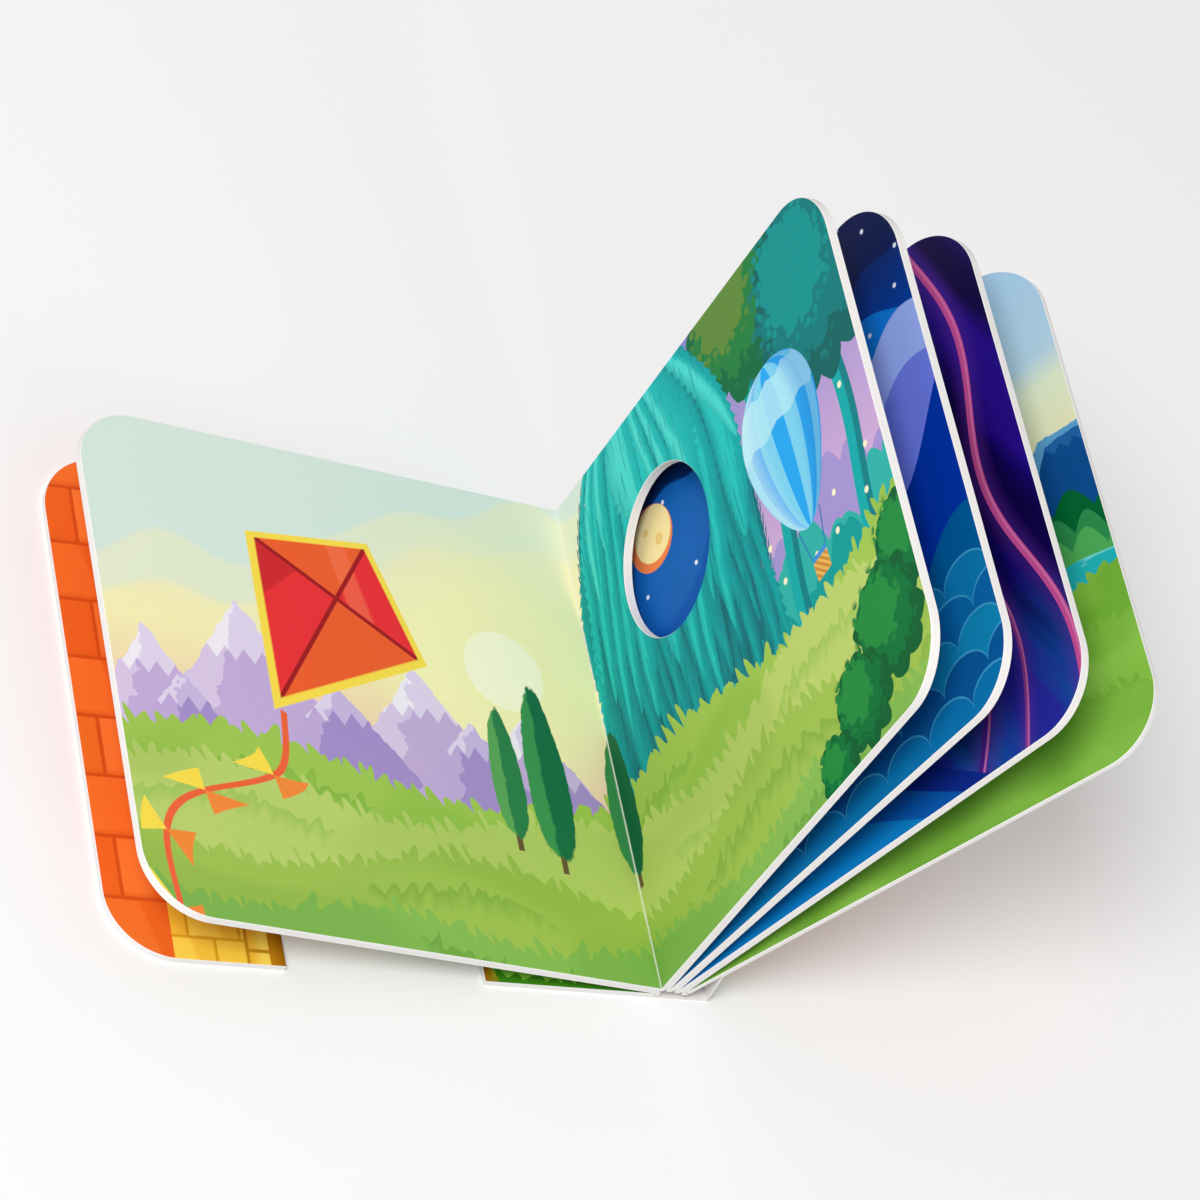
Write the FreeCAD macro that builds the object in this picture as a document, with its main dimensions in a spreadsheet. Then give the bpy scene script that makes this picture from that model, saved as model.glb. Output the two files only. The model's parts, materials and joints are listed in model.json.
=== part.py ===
"""Square board book lying open on its front cover, with the leaves and the back cover fanned up.

The book is folded boards glued back to back: each spread is one board creased at the gutter, so
a leaf is two half boards. A card wrap carries both covers and runs loose behind the spine.
Millimetres, +Z up. The front cover's outer face lies on Z = 0, X runs from the front cover's fore
edge towards the back cover, and Y runs up the page along the gutter. The origin is the middle of
the floor of the book's box.
"""

import FreeCAD
import Part
import Sketcher
import math
import os

Vector = FreeCAD.Vector

doc = FreeCAD.newDocument("BoardBook")

# Driving dimensions, in millimetres and degrees
SIZES = {
    # page, measured from the gutter crease to the fore edge and from tail to head
    "page_width": 152.0,
    "page_height": 152.3,
    "corner_radius": 18.2,
    # board of one leaf, which is two half boards glued back to back
    "leaf_thickness": 2.6,
    # each fold's back is pressed a little flatter than half a leaf
    "crease_squeeze": 0.15,
    # a cover is one half board lined with the card of the wrap
    "lining_thickness": 1.3,
    "card_thickness": 0.45,
    # angle at which each spread stands open, from the front cover to the back cover
    "opening_front": 7.4,
    "opening_read": 82.5,
    "opening_third": 7.1,
    "opening_fourth": 8.8,
    "opening_back": 10.2,
    # the wrap's flat panel behind the spine, and how far from the gutter it stays unglued
    "spine_width": 16.0,
    "unglued_width": 11.0,
    # free play of a swinging cover at its crease and at the wrap
    "hinge_clearance": 0.3,
    # round peep window in the second leaf
    "window_diameter": 47.0,
    "window_from_gutter": 48.3,
    "window_from_tail": 106.0,
    # arched gateway cut into the front cover's tail edge
    "gate_width": 55.4,
    "gate_from_gutter": 77.3,
    "gate_wall_height": 32.0,
}

# Places that follow from the sizes. Creases are numbered from the front cover, and each sits one
# leaf's thickness from the last, square to the leaf between them.
PLACES = {
    "cover_thickness": "Sizes.lining_thickness + Sizes.card_thickness",
    "fold_radius": "Sizes.leaf_thickness / 2 - Sizes.crease_squeeze",
    "front_angle": "180",
    "leaf_1_angle": "front_angle - Sizes.opening_front",
    "leaf_2_angle": "leaf_1_angle - Sizes.opening_read",
    "leaf_3_angle": "leaf_2_angle - Sizes.opening_third",
    "leaf_4_angle": "leaf_3_angle - Sizes.opening_fourth",
    "back_angle": "leaf_4_angle - Sizes.opening_back",
    # crease heights and their distances along X from the first crease
    "crease_0_z": "cover_thickness",
    "crease_1_z": "crease_0_z - Sizes.leaf_thickness * cos(leaf_1_angle)",
    "crease_2_z": "crease_1_z - Sizes.leaf_thickness * cos(leaf_2_angle)",
    "crease_3_z": "crease_2_z - Sizes.leaf_thickness * cos(leaf_3_angle)",
    "crease_4_z": "crease_3_z - Sizes.leaf_thickness * cos(leaf_4_angle)",
    "run_1": "Sizes.leaf_thickness * sin(leaf_1_angle)",
    "run_2": "run_1 + Sizes.leaf_thickness * sin(leaf_2_angle)",
    "run_3": "run_2 + Sizes.leaf_thickness * sin(leaf_3_angle)",
    "run_4": "run_3 + Sizes.leaf_thickness * sin(leaf_4_angle)",
    # the book's box runs from the front cover's fore edge to the back cover's outer fore edge
    "reach_back": "run_4 + Sizes.page_width * cos(back_angle) + cover_thickness * sin(back_angle)",
    "crease_0_x": "(Sizes.page_width - reach_back) / 2",
    "crease_1_x": "crease_0_x + run_1",
    "crease_2_x": "crease_0_x + run_2",
    "crease_3_x": "crease_0_x + run_3",
    "crease_4_x": "crease_0_x + run_4",
    # outer face of the back cover at the gutter
    "back_outer_x": "crease_4_x + cover_thickness * sin(back_angle)",
    "back_outer_z": "crease_4_z - cover_thickness * cos(back_angle)",
    # inside corner of the wrap's fold, and where its loose strip meets the back lining
    "wrap_fold_x": "crease_0_x + Sizes.spine_width - Sizes.card_thickness",
    "wrap_fold_z": "Sizes.card_thickness",
    "glue_x": "crease_4_x + Sizes.unglued_width * cos(back_angle) + Sizes.lining_thickness * sin(back_angle)",
    "glue_z": "crease_4_z + Sizes.unglued_width * sin(back_angle) - Sizes.lining_thickness * cos(back_angle)",
    "strip_angle": "atan2(glue_z - wrap_fold_z; glue_x - wrap_fold_x) / 1deg",
    "strip_span": "sqrt(pow(glue_x - wrap_fold_x; 2) + pow(glue_z - wrap_fold_z; 2))",
    "strip_length": "strip_span - Sizes.hinge_clearance / sin(strip_angle - back_angle)",
}


def fill_sheet(name, cells):
    """A spreadsheet with one row for each entry: its name, then its value under that alias."""
    sheet = doc.addObject("Spreadsheet::Sheet", name)
    for row, (alias, value) in enumerate(cells.items(), start=1):
        sheet.set(f"A{row}", alias)
        sheet.set(f"B{row}", value if isinstance(value, str) else str(value))
        sheet.setAlias(f"B{row}", alias)
    return sheet


fill_sheet("Sizes", SIZES)
fill_sheet("Places", {alias: "=" + formula for alias, formula in PLACES.items()})
doc.recompute()


def value(name):
    """A size or place as a plain number, for a sketch's first shape."""
    sheet, alias = name.split(".")
    found = getattr(doc.getObject(sheet), alias)
    return float(getattr(found, "Value", found))


def new_body(name):
    """A body, and its own plane that a board's outline is drawn on."""
    body = doc.addObject("PartDesign::Body", name)
    body.Label = name
    plane = next(f for f in body.Origin.OriginFeatures if f.Role == "XY_Plane")
    return body, plane


def new_sketch(body, plane, name):
    sketch = body.newObject("Sketcher::SketchObject", name)
    sketch.AttachmentSupport = [(plane, "")]
    sketch.MapMode = "FlatFace"
    return sketch


def bind(sketch, constraint, name, expression):
    """Adds a dimension to a sketch under a name of its own, driven by the sheets."""
    sketch.renameConstraint(sketch.addConstraint(constraint), name)
    sketch.setExpression("Constraints." + name, expression)


def join(sketch, first, first_end, second, second_end, kind="Coincident"):
    sketch.addConstraint(Sketcher.Constraint(kind, first, first_end, second, second_end))


def board_outline(body, plane, clearance=None):
    """A page's outline: square at the gutter, round at both fore corners.

    The gutter edge lies on the sketch's Y axis, or clear of it by the size that is given.
    """
    sketch = new_sketch(body, plane, body.Name + "_outline")
    start = value(clearance) if clearance else 0.0
    width = value("Sizes.page_width")
    half = value("Sizes.page_height") / 2
    radius = value("Sizes.corner_radius")
    corner = Vector(width - radius, radius - half, 0)
    upper = Vector(width - radius, half - radius, 0)
    up = Vector(0, 0, 1)
    quarter = math.pi / 2
    tail = sketch.addGeometry(Part.LineSegment(Vector(start, -half, 0), Vector(corner.x, -half, 0)))
    tail_arc = sketch.addGeometry(Part.ArcOfCircle(Part.Circle(corner, up, radius), -quarter, 0))
    fore = sketch.addGeometry(Part.LineSegment(Vector(width, corner.y, 0), Vector(width, upper.y, 0)))
    head_arc = sketch.addGeometry(Part.ArcOfCircle(Part.Circle(upper, up, radius), 0, quarter))
    head = sketch.addGeometry(Part.LineSegment(Vector(upper.x, half, 0), Vector(start, half, 0)))
    gutter = sketch.addGeometry(Part.LineSegment(Vector(start, half, 0), Vector(start, -half, 0)))
    join(sketch, tail, 2, tail_arc, 1, "Tangent")
    join(sketch, tail_arc, 2, fore, 1, "Tangent")
    join(sketch, fore, 2, head_arc, 1, "Tangent")
    join(sketch, head_arc, 2, head, 1, "Tangent")
    join(sketch, head, 2, gutter, 1)
    join(sketch, gutter, 2, tail, 1)
    sketch.addConstraint(Sketcher.Constraint("Horizontal", tail))
    sketch.addConstraint(Sketcher.Constraint("Horizontal", head))
    sketch.addConstraint(Sketcher.Constraint("Vertical", fore))
    sketch.addConstraint(Sketcher.Constraint("Equal", tail_arc, head_arc))
    sketch.addConstraint(Sketcher.Constraint("Symmetric", tail, 1, head, 2, -1))
    if clearance:
        bind(sketch, Sketcher.Constraint("DistanceX", -1, 1, tail, 1, start), "Clearance", clearance)
    else:
        sketch.addConstraint(Sketcher.Constraint("PointOnObject", tail, 1, -2))
    bind(sketch, Sketcher.Constraint("DistanceX", -1, 1, fore, 1, width), "Width", "Sizes.page_width")
    bind(sketch, Sketcher.Constraint("DistanceY", gutter, 2, gutter, 1, 2 * half), "Height",
         "Sizes.page_height")
    bind(sketch, Sketcher.Constraint("Radius", tail_arc, radius), "Corner", "Sizes.corner_radius")
    return sketch


def pad(body, sketch, thickness):
    feature = body.newObject("PartDesign::Pad", sketch.Name.replace("outline", "board"))
    feature.Profile = sketch
    feature.setExpression("Length", thickness)
    body.Tip = feature
    return feature


def cut(body, sketch, name, depth=None):
    """Cuts a sketch's outline into the board, to a depth or right through."""
    feature = body.newObject("PartDesign::Pocket", name)
    feature.Profile = sketch
    feature.Reversed = True
    if depth:
        feature.setExpression("Length", depth)
    else:
        feature.Type = "ThroughAll"
    body.Tip = feature
    return feature


def place(piece, x, z, angle):
    """Stands a piece on the gutter: its own X axis turns up to the angle, from the table's X."""
    piece.setExpression(
        "Placement",
        f"create(<<placement>>; create(<<vector>>; {x}; 0; {z});"
        f" create(<<rotation>>; create(<<vector>>; 0; -1; 0); {angle}))",
    )


# Leaves: leaf n lies between crease n - 1 and crease n, and is padded back from crease n
LEAVES = (1, 2, 3, 4)
leaf_bodies = {}
for number in LEAVES:
    leaf, leaf_plane = new_body(f"leaf_{number}")
    pad(leaf, board_outline(leaf, leaf_plane), "Sizes.leaf_thickness")
    place(leaf, f"Places.crease_{number}_x", f"Places.crease_{number}_z", f"Places.leaf_{number}_angle")
    leaf_bodies[number] = (leaf, leaf_plane)

# Round window cut through the second leaf
window_leaf, window_plane = leaf_bodies[2]
window = new_sketch(window_leaf, window_plane, "window_outline")
window_height = value("Sizes.window_from_tail") - value("Sizes.page_height") / 2
window_middle = Vector(value("Sizes.window_from_gutter"), window_height, 0)
window_radius = value("Sizes.window_diameter") / 2
window.addGeometry(Part.Circle(window_middle, Vector(0, 0, 1), window_radius))
bind(window, Sketcher.Constraint("Diameter", 0, 2 * window_radius), "Across", "Sizes.window_diameter")
bind(window, Sketcher.Constraint("DistanceX", -1, 1, 0, 3, window_middle.x), "FromGutter",
     "Sizes.window_from_gutter")
bind(window, Sketcher.Constraint("DistanceY", -1, 1, 0, 3, window_middle.y), "AboveMiddle",
     "Sizes.window_from_tail - Sizes.page_height / 2")
cut(window_leaf, window, "window")


def round_fold(name, x, z, radius, turn, angle):
    """The rounded back of a fold, a sector of a rod along the gutter.

    It starts square to the board at the given angle and turns on by the given turn.
    """
    fold = doc.addObject("Part::Cylinder", name)
    fold.setExpression("Radius", radius)
    fold.setExpression("Height", "Sizes.page_height")
    fold.setExpression("Angle", turn)
    fold.setExpression(
        "Placement",
        f"create(<<placement>>; create(<<vector>>; {x}; Sizes.page_height / 2; {z});"
        f" create(<<rotation>>; create(<<vector>>; 0; -1; 0); {angle})"
        " * create(<<rotation>>; create(<<vector>>; 1; 0; 0); 90))",
    )
    return fold


# Backs of the three folds between leaves, each a turn short of a half circle by its opening
OPENINGS = {1: "opening_read", 2: "opening_third", 3: "opening_fourth"}
folds = [
    round_fold(
        f"fold_{number}",
        f"Places.crease_{number}_x",
        f"Places.crease_{number}_z",
        "Places.fold_radius",
        f"180 - Sizes.{opening}",
        f"Places.leaf_{number}_angle + 90",
    )
    for number, opening in OPENINGS.items()
]

# Page block: the four leaves and their folds are one glued solid
pages = doc.addObject("Part::MultiFuse", "pages")
pages.Label = "pages"
pages.Shapes = [leaf_bodies[number][0] for number in LEAVES] + folds

# Front cover, flat on the table, with the gateway cut in at its tail edge
front_cover, front_plane = new_body("front_cover")
front_sketch = board_outline(front_cover, front_plane, "Sizes.hinge_clearance")
pad(front_cover, front_sketch, "Places.cover_thickness")
place(front_cover, "Places.crease_0_x", "Places.crease_0_z", "Places.front_angle")

gate = new_sketch(front_cover, front_plane, "gate_outline")
gate_middle = value("Sizes.gate_from_gutter")
gate_half = value("Sizes.gate_width") / 2
tail_level = -value("Sizes.page_height") / 2
spring_level = tail_level + value("Sizes.gate_wall_height")
near_wall = gate_middle - gate_half
far_wall = gate_middle + gate_half
arch = Part.ArcOfCircle(
    Part.Circle(Vector(gate_middle, spring_level, 0), Vector(0, 0, 1), gate_half),
    0,
    math.pi,
)
near_foot, near_top = Vector(near_wall, tail_level, 0), Vector(near_wall, spring_level, 0)
far_foot, far_top = Vector(far_wall, tail_level, 0), Vector(far_wall, spring_level, 0)
sill = gate.addGeometry(Part.LineSegment(near_foot, far_foot))
far = gate.addGeometry(Part.LineSegment(far_foot, far_top))
crown = gate.addGeometry(arch)
near = gate.addGeometry(Part.LineSegment(near_top, near_foot))
join(gate, sill, 2, far, 1)
join(gate, far, 2, crown, 1, "Tangent")
join(gate, crown, 2, near, 1, "Tangent")
join(gate, near, 2, sill, 1)
gate.addConstraint(Sketcher.Constraint("Horizontal", sill))
gate.addConstraint(Sketcher.Constraint("Vertical", far))
bind(gate, Sketcher.Constraint("DistanceX", sill, 1, sill, 2, 2 * gate_half), "Across", "Sizes.gate_width")
bind(gate, Sketcher.Constraint("DistanceX", -1, 1, crown, 3, gate_middle), "FromGutter",
     "Sizes.gate_from_gutter")
bind(gate, Sketcher.Constraint("DistanceY", sill, 2, -1, 1, -tail_level), "Tail", "Sizes.page_height / 2")
bind(gate, Sketcher.Constraint("DistanceY", far, 1, far, 2, spring_level - tail_level), "Wall",
     "Sizes.gate_wall_height")
cut(front_cover, gate, "gate")

# Back cover: full thickness beyond the glue line, bare half board nearer the gutter
back_cover, back_plane = new_body("back_cover")
back_sketch = board_outline(back_cover, back_plane, "Sizes.hinge_clearance")
pad(back_cover, back_sketch, "Places.cover_thickness")
place(back_cover, "Places.back_outer_x", "Places.back_outer_z", "Places.back_angle")

rebate = new_sketch(back_cover, back_plane, "rebate_outline")
rebate_width = value("Sizes.unglued_width")
corners = [(0, tail_level), (rebate_width, tail_level), (rebate_width, -tail_level), (0, -tail_level)]
for here, there in zip(corners, corners[1:] + corners[:1]):
    rebate.addGeometry(Part.LineSegment(Vector(*here, 0), Vector(*there, 0)))
for side in range(len(corners)):
    join(rebate, side, 2, (side + 1) % len(corners), 1)
rebate.addConstraint(Sketcher.Constraint("Horizontal", 0))
rebate.addConstraint(Sketcher.Constraint("Horizontal", 2))
rebate.addConstraint(Sketcher.Constraint("Vertical", 1))
rebate.addConstraint(Sketcher.Constraint("Symmetric", 0, 1, 2, 2, -1))
rebate.addConstraint(Sketcher.Constraint("PointOnObject", 0, 1, -2))
bind(rebate, Sketcher.Constraint("DistanceX", 0, 1, 0, 2, rebate_width), "Across", "Sizes.unglued_width")
bind(rebate, Sketcher.Constraint("DistanceY", 1, 1, 1, 2, -2 * tail_level), "Height", "Sizes.page_height")
cut(back_cover, rebate, "rebate", "Sizes.card_thickness")

# Spine: the card wrap's loose part, a flat panel on the table and a strip folded up behind it
panel = doc.addObject("Part::Box", "spine_panel")
panel.setExpression("Length", "Places.wrap_fold_x - Places.crease_0_x")
panel.setExpression("Width", "Sizes.page_height")
panel.setExpression("Height", "Sizes.card_thickness")
panel.setExpression("Placement.Base.x", "Places.crease_0_x")
panel.setExpression("Placement.Base.y", "-Sizes.page_height / 2")

strip = doc.addObject("Part::Box", "spine_strip")
strip.setExpression("Length", "Places.strip_length")
strip.setExpression("Width", "Sizes.page_height")
strip.setExpression("Height", "Sizes.card_thickness")
strip.setExpression(
    "Placement",
    "create(<<placement>>; create(<<vector>>;"
    " Places.wrap_fold_x + Sizes.card_thickness * sin(Places.strip_angle);"
    " -Sizes.page_height / 2;"
    " Places.wrap_fold_z - Sizes.card_thickness * cos(Places.strip_angle));"
    " create(<<rotation>>; create(<<vector>>; 0; -1; 0); Places.strip_angle))",
)

wrap_fold = round_fold(
    "wrap_fold",
    "Places.wrap_fold_x",
    "Places.wrap_fold_z",
    "Sizes.card_thickness",
    "Places.strip_angle",
    "270",
)

spine = doc.addObject("Part::MultiFuse", "spine")
spine.Label = "spine"
spine.Shapes = [panel, strip, wrap_fold]

doc.recompute()

# Nothing is written unless every object is sound
failed = [item.Label for item in doc.Objects if {"Invalid", "Error"} & set(item.State)]
if failed:
    raise RuntimeError(f"did not build: {failed}")

os.makedirs("parts", exist_ok=True)
for node in (pages, front_cover, back_cover, spine):
    shape = node.Shape
    if shape.isNull() or not shape.isValid() or len(shape.Solids) != 1:
        raise RuntimeError(f"{node.Label} is not one sound solid")
    shape.exportStep(f"parts/{node.Label}.step")
    box = shape.BoundBox
    print(f"{node.Label}: {shape.Volume:.1f} mm3, X {box.XMin:.2f} to {box.XMax:.2f},"
          f" Y {box.YMin:.2f} to {box.YMax:.2f}, Z {box.ZMin:.2f} to {box.ZMax:.2f}")
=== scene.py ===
"""Square board book standing open on its front cover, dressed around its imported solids."""
import bmesh
import bpy
import json
import math
from mathutils import Matrix, Vector


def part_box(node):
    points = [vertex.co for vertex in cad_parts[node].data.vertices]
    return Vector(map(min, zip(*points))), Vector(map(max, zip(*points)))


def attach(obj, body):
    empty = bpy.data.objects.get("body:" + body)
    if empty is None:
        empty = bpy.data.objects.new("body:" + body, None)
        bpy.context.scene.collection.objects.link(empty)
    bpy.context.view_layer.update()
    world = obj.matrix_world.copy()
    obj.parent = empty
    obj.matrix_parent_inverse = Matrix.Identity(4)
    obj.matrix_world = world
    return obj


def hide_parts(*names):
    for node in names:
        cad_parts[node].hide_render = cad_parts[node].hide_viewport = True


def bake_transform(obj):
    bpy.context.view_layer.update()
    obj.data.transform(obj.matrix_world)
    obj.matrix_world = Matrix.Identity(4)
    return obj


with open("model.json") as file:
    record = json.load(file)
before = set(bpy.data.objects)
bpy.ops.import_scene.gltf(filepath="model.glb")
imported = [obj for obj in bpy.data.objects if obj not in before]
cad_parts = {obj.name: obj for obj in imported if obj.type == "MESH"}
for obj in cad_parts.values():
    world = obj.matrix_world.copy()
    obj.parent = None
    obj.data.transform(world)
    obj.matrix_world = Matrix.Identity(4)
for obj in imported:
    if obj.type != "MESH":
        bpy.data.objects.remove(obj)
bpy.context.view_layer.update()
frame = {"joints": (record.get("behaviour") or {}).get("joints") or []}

scene = bpy.context.scene

# Camera: the long lens and the tilted hand-held angle that the book was photographed with,
# about 1.3 metres off and 45 degrees above the page.
CAMERA_PLACE = (-0.5635, -0.6645, 0.9445)
CAMERA_TURN = (38.204, -25.650, -11.757)
LENS = 145.7
SENSOR = 36.0

camera_data = bpy.data.cameras.new("camera")
camera_data.lens = LENS
camera_data.sensor_width = SENSOR
camera = bpy.data.objects.new("camera", camera_data)
camera.location = CAMERA_PLACE
camera.rotation_euler = [math.radians(turn) for turn in CAMERA_TURN]
scene.collection.objects.link(camera)
scene.camera = camera

# Page block, gutter: every spread is one board scored and folded here, and the folds are glued
# back to back, so each crease sits one leaf's thickness from the last, square to the leaf between.
MM = 0.001
LEAF_THICKNESS = 2.6 * MM
LINING_THICKNESS = 1.3 * MM
CARD_THICKNESS = 0.45 * MM
COVER_THICKNESS = LINING_THICKNESS + CARD_THICKNESS
OPENINGS = (7.4, 82.5, 7.1, 8.8, 10.2)
FRONT_ANGLE = 180.0

hinges = {joint["name"]: Vector(joint["pos_m"]) for joint in frame["joints"]}
page_low, page_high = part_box("pages")
cover_low, cover_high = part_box("front_cover")
PAGE_HEIGHT = page_high.y - page_low.y
TAIL = page_low.y
PAGE_WIDTH = hinges["front_cover_hinge"].x - cover_low.x
CORNER_RADIUS = 18.2 * MM
HINGE_CLEARANCE = hinges["front_cover_hinge"].x - cover_high.x


def along(angle):
    """Unit vector in the book's end view, turned up from the table by an angle in degrees."""
    return Vector((math.cos(math.radians(angle)), 0, math.sin(math.radians(angle))))


leaf_angles = {0: FRONT_ANGLE}
creases = {0: Vector((hinges["front_cover_hinge"].x, TAIL, hinges["front_cover_hinge"].z))}
for number in (1, 2, 3, 4):
    leaf_angles[number] = leaf_angles[number - 1] - OPENINGS[number - 1]
    creases[number] = creases[number - 1] + along(leaf_angles[number] - 90) * LEAF_THICKNESS
BACK_ANGLE = leaf_angles[4] - OPENINGS[4]


# Printed faces: process inks on coated board under a thin satin film. The film follows the
# board's faint unevenness, and a paler line along the pressed crease is a painted highlight.
PRINT_HEIGHT = 152.0
FILM_ROUGHNESS = 0.4
FILM_GLOSS = 0.07
CREASE_HIGHLIGHT = 0.26


class Ink:
    """One socket of the print in hand. Sums and products of sockets become Math nodes."""

    tree = None

    def __init__(self, socket):
        self.socket = socket

    @staticmethod
    def node(kind, settings=None, values=None, output=0):
        made = Ink.tree.nodes.new("ShaderNode" + kind)
        for name, setting in (settings or {}).items():
            if name == "stops":
                ramp = made.color_ramp.elements
                for place, _ in setting[1:-1]:
                    ramp.new(place)
                for stop, (place, colour) in zip(ramp, setting):
                    stop.position = place
                    stop.color = colour
            else:
                setattr(made, name, setting)
        for name, entry in (values or {}).items():
            if isinstance(entry, Ink):
                Ink.tree.links.new(entry.socket, made.inputs[name])
            else:
                made.inputs[name].default_value = entry
        return Ink(made.outputs[output])

    @staticmethod
    def calc(operation, *values, clamp=False):
        settings = {"operation": operation, "use_clamp": clamp}
        return Ink.node("Math", settings, dict(enumerate(values)))

    def __add__(self, other):
        return Ink.calc("ADD", self, other)

    __radd__ = __add__

    def __sub__(self, other):
        return Ink.calc("SUBTRACT", self, other)

    def __rsub__(self, other):
        return Ink.calc("SUBTRACT", other, self)

    def __mul__(self, other):
        return Ink.calc("MULTIPLY", self, other)

    __rmul__ = __mul__

    def __truediv__(self, other):
        return Ink.calc("DIVIDE", self, other)

    def __mod__(self, other):
        return Ink.calc("FLOORED_MODULO", self, other)

    def __abs__(self):
        return Ink.calc("ABSOLUTE", self)

    def sine(self):
        return Ink.calc("SINE", self)

    def at_least(self, other):
        return Ink.calc("MAXIMUM", self, other)

    def at_most(self, other):
        return Ink.calc("MINIMUM", self, other)


def swatch(code):
    """A hex colour code as Blender's linear colour."""
    parts = [int(code[place:place + 2], 16) / 255 for place in (1, 3, 5)]
    return (*[part / 12.92 if part <= 0.04045 else ((part + 0.055) / 1.055) ** 2.4 for part in parts], 1)


def over(under, colour, mask):
    """Lays a colour on a print where the mask is 1."""
    layer = swatch(colour) if isinstance(colour, str) else colour
    values = {0: mask, 6: under, 7: layer}
    return Ink.node("Mix", {"data_type": "RGBA"}, values, 2)


def fade(height, *stops):
    """Colour that changes up the page, from (share of the page's height, colour) stops."""
    settings = {"stops": [(place, swatch(code)) for place, code in stops]}
    return Ink.node("ValToRGB", settings, {0: height / PRINT_HEIGHT})


def edge(inside, soft=0.16):
    """Mask of a shape from the distance inside its outline, in millimetres, with a soft rim."""
    return Ink.calc("MULTIPLY_ADD", inside, 1 / soft, 0.5, clamp=True)


def speckle(at, size, seed, stretch=(1, 1, 1), detail=2.0):
    """Smooth noise from 0 to 1 on the page, its grain about the given size in millimetres."""
    scaled = Ink.node("VectorMath", {"operation": "MULTIPLY"}, {0: at, 1: stretch})
    values = {"Vector": scaled, "W": seed, "Scale": 1 / size, "Detail": detail}
    return Ink.node("TexNoise", {"noise_dimensions": "4D"}, values)


class Page:
    """Where a point lies on its spread, in millimetres right of the gutter and up from the tail."""

    def __init__(self, at=None):
        self.at = at or Ink.node("UVMap", {"uv_map": "page"})
        split = {"Vector": self.at}
        self.u = Ink.node("SeparateXYZ", None, split, 0)
        self.v = Ink.node("SeparateXYZ", None, split, 1)

    def turned(self, middle, degrees=0.0, scale=(1, 1, 1)):
        """The page measured from another middle, turned and scaled about it."""
        moved = Ink.node("VectorMath", {"operation": "SUBTRACT"}, {0: self.at, 1: (*middle, 0)})
        settings = {"rotation_type": "Z_AXIS"}
        turned = Ink.node("VectorRotate", settings, {"Vector": moved, "Angle": math.radians(-degrees)})
        return Page(Ink.node("VectorMath", {"operation": "MULTIPLY"}, {0: turned, 1: scale}))

    def reach(self, middle=(0, 0)):
        return Ink.node("VectorMath", {"operation": "DISTANCE"}, {0: self.at, 1: (*middle, 0)}, "Value")

    def disc(self, middle, radius, soft=0.16):
        return edge(radius - self.reach(middle), soft)

    def wave(self, size, length, shift=0.0):
        return (self.u * (2 * math.pi / length) + shift).sine() * size

    def bearing(self, middle):
        return Ink.calc("ARCTAN2", self.v - middle[1], self.u - middle[0])

    def tufts(self, size, seed, blade=1.9, lean=0.5):
        """Blades of grass along a ridge: two leaning rows of round-tipped teeth whose height wanders."""
        patch = speckle(self.at, 6.0, seed, (1, 0.3, 1), 1.0)
        narrow = Ink.calc("PINGPONG", self.u + self.v * lean, blade) / blade
        broad = Ink.calc("PINGPONG", self.u - self.v * lean + seed, blade * 1.7) / (blade * 1.7)
        tall = (narrow * 1.45).sine() * (patch - 0.36).at_least(0)
        short = (broad * 1.45).sine() * (0.58 - patch).at_least(0)
        return tall.at_least(short) * (size * 3.4)

    def dots(self, scale):
        """Distance to the nearest of points scattered over the page."""
        return Ink.node("TexVoronoi", {"voronoi_dimensions": "2D"}, {"Vector": self.at, "Scale": scale}, 0)

    def band(self, low, high, soft=0.16):
        return edge(self.v - low, soft) * edge(high - self.v, soft)


def printed(name, design):
    """Material of a spread: its design in ink, under the satin film."""
    material = bpy.data.materials.new(name)
    material.use_nodes = True
    Ink.tree = material.node_tree
    shader = Ink.tree.nodes["Principled BSDF"]
    page = Page()
    colour = design(page)
    mottle = speckle(page.at, 0.7, 3.0, detail=3.0)
    tone = Ink.node("HueSaturation", None, {"Color": colour, "Value": mottle * 0.05 + 0.975})
    # Painted highlight: a paler line laid along the gutter crease.
    crease_highlight = edge(0.4 - abs(page.u), 0.5) * CREASE_HIGHLIGHT
    tone = over(tone, "#F4F6E4", crease_highlight)
    sheen = speckle(page.at, 23.0, 5.0) * 0.07 + mottle * 0.05 + FILM_ROUGHNESS
    ripple = speckle(page.at, 9.0, 7.0) * 0.6 + mottle * 0.05
    film = Ink.node("Bump", None, {"Strength": 0.2, "Distance": 0.0001, "Height": ripple})
    for socket, entry in (("Base Color", tone), ("Roughness", sheen), ("Normal", film)):
        Ink.tree.links.new(entry.socket, shader.inputs[socket])
    shader.inputs["Specular IOR Level"].default_value = FILM_GLOSS
    return material


# Board core: the cut edges of the boards, die-cut grey-white pulp with fine fibres along the cut
# and a hairline of glue where two half boards meet.
def raw_board(name, colour, shade, ply=None):
    material = bpy.data.materials.new(name)
    material.use_nodes = True
    Ink.tree = material.node_tree
    shader = Ink.tree.nodes["Principled BSDF"]
    page = Page()
    fibre = speckle(page.at, 0.9, 11.0, (0.35, 6.0, 1.0), 4.0)
    cloud = speckle(page.at, 6.0, 12.0, (1.0, 0.4, 1.0))
    tone = over(swatch(colour), shade, fibre * 0.45 + cloud * 0.2)
    if ply:
        tone = over(tone, "#CFC9C2", edge(0.05 - abs(page.v - ply / MM), 0.08) * 0.6)
    grain = Ink.node("Bump", None, {"Strength": 0.35, "Distance": 0.00008, "Height": fibre})
    Ink.tree.links.new(tone.socket, shader.inputs["Base Color"])
    Ink.tree.links.new((fibre * 0.15 + 0.72).socket, shader.inputs["Roughness"])
    Ink.tree.links.new(grain.socket, shader.inputs["Normal"])
    return material


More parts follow.
